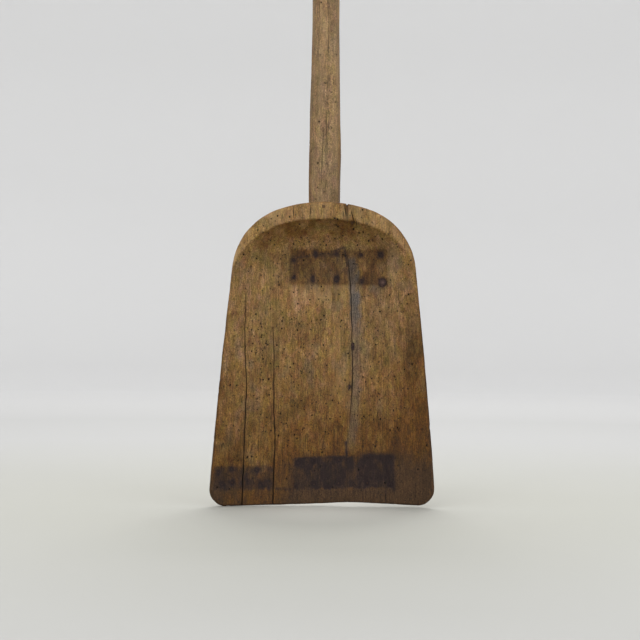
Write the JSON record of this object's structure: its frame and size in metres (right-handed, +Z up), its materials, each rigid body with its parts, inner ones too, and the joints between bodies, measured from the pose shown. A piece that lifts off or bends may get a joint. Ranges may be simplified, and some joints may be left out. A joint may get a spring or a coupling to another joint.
{
  "type": "grain scoop shovel",
  "caption": "Hand-carved wooden grain shovel: hollowed scoop with a thick round shoulder, straight digging lip and long round handle, split and nailed together again.",
  "frame": {"origin": "on the floor under the middle of the box around the whole tool, which stands upright on its digging lip", "axes": "+Z runs up from the lip to the end of the handle, -Y is the hollow side of the scoop, +X is to the right when looking into the hollow"},
  "size_m": [0.2688, 0.0696, 1.09],
  "materials": {
    "scoop_wood": "worn bare wood, dry and slightly polished by grain",
    "handle_wood": "bare wood, greyed and smoothed by hands",
    "rusted_iron": "dark brown rust, matt"
  },
  "bodies": {
    "root": {"scoop_body": "scoop_wood", "split_board": "scoop_wood", "handle": "handle_wood", "crown_patch_nail_01": "rusted_iron", "crown_patch_nail_02": "rusted_iron", "crown_patch_nail_03": "rusted_iron", "crown_patch_nail_04": "rusted_iron", "crown_patch_nail_05": "rusted_iron", "crown_patch_nail_06": "rusted_iron", "crown_patch_nail_07": "rusted_iron", "crown_patch_nail_08": "rusted_iron", "crown_patch_nail_09": "rusted_iron", "crown_patch_nail_10": "rusted_iron", "lip_patch_nail_01": "rusted_iron", "lip_patch_nail_02": "rusted_iron", "lip_patch_nail_03": "rusted_iron", "lip_patch_nail_04": "rusted_iron", "lip_patch_nail_05": "rusted_iron", "lip_patch_nail_06": "rusted_iron", "lip_patch_nail_07": "rusted_iron", "lip_patch_nail_08": "rusted_iron", "lip_patch_nail_09": "rusted_iron", "lip_patch_nail_10": "rusted_iron", "corner_patch_nail_01": "rusted_iron", "corner_patch_nail_02": "rusted_iron", "corner_patch_nail_03": "rusted_iron", "corner_patch_nail_04": "rusted_iron", "corner_patch_nail_05": "rusted_iron", "corner_patch_nail_06": "rusted_iron", "seam_nail_upper": "rusted_iron", "seam_nail_lower": "rusted_iron", "handle_pin_nail": "rusted_iron"}
  },
  "joints": []
}
